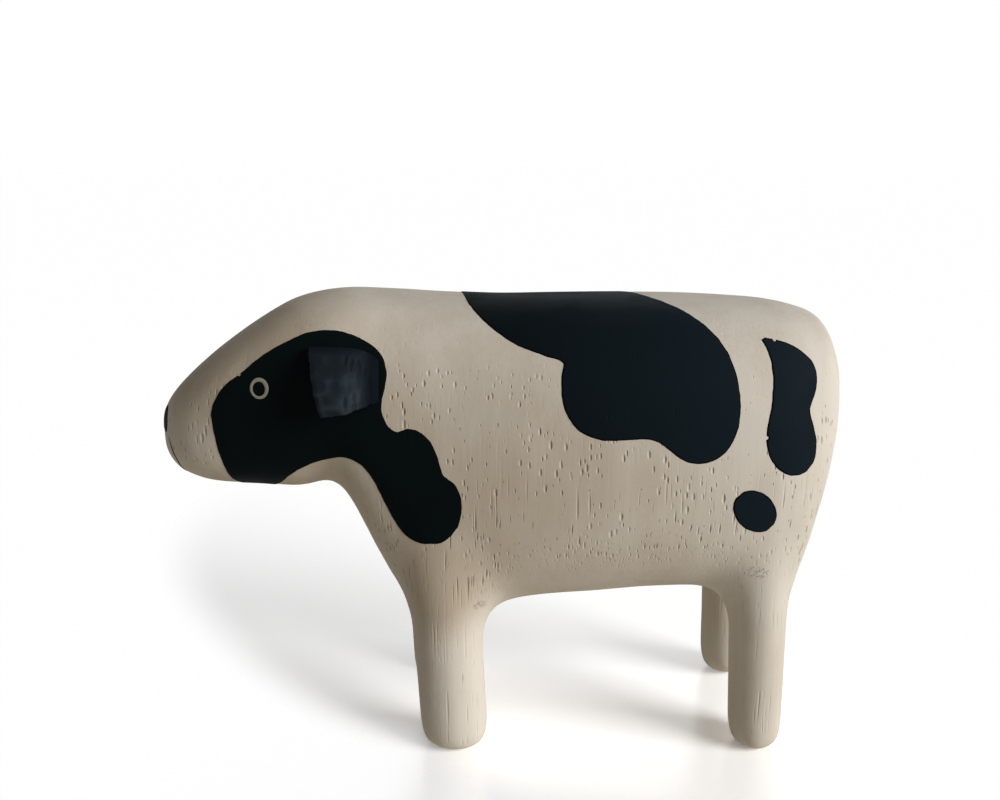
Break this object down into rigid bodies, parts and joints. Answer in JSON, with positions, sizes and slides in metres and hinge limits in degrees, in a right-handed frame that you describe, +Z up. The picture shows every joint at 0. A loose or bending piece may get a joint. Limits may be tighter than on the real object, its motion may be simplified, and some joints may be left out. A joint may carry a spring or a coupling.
{
  "type": "wooden cow figure",
  "caption": "Small hand-carved wooden cow that stands on its feet, whitewashed with black painted patches and let-in ears.",
  "frame": {"origin": "on the floor under the middle of the bounding box", "axes": "+X from the nose to the rump, +Y toward the cow's right side, +Z up"},
  "size_m": [0.103, 0.038, 0.0696],
  "materials": {
    "bare_wood": "whitewashed, matt, open pores",
    "black_wood": "black paint on rough-carved wood",
    "peg_wood": "bare turned wood, out of sight",
    "black_paint": "matt black water paint, brushed on",
    "pale_paint": "matt pale grey-beige paint"
  },
  "bodies": {
    "root": {"carved_block": "bare_wood", "ear_left": "black_wood", "ear_right": "black_wood", "ear_peg_left": "peg_wood", "ear_peg_right": "peg_wood", "face_patch_left": "black_paint", "face_patch_right": "black_paint", "saddle_patch": "black_paint", "rump_patch_left": "black_paint", "rump_patch_right": "black_paint", "hip_spot_left": "black_paint", "hip_spot_right": "black_paint", "eye_ring_left": "pale_paint", "eye_ring_right": "pale_paint", "nostril_left": "black_paint", "nostril_right": "black_paint", "mouth_line": "black_paint"}
  },
  "joints": []
}
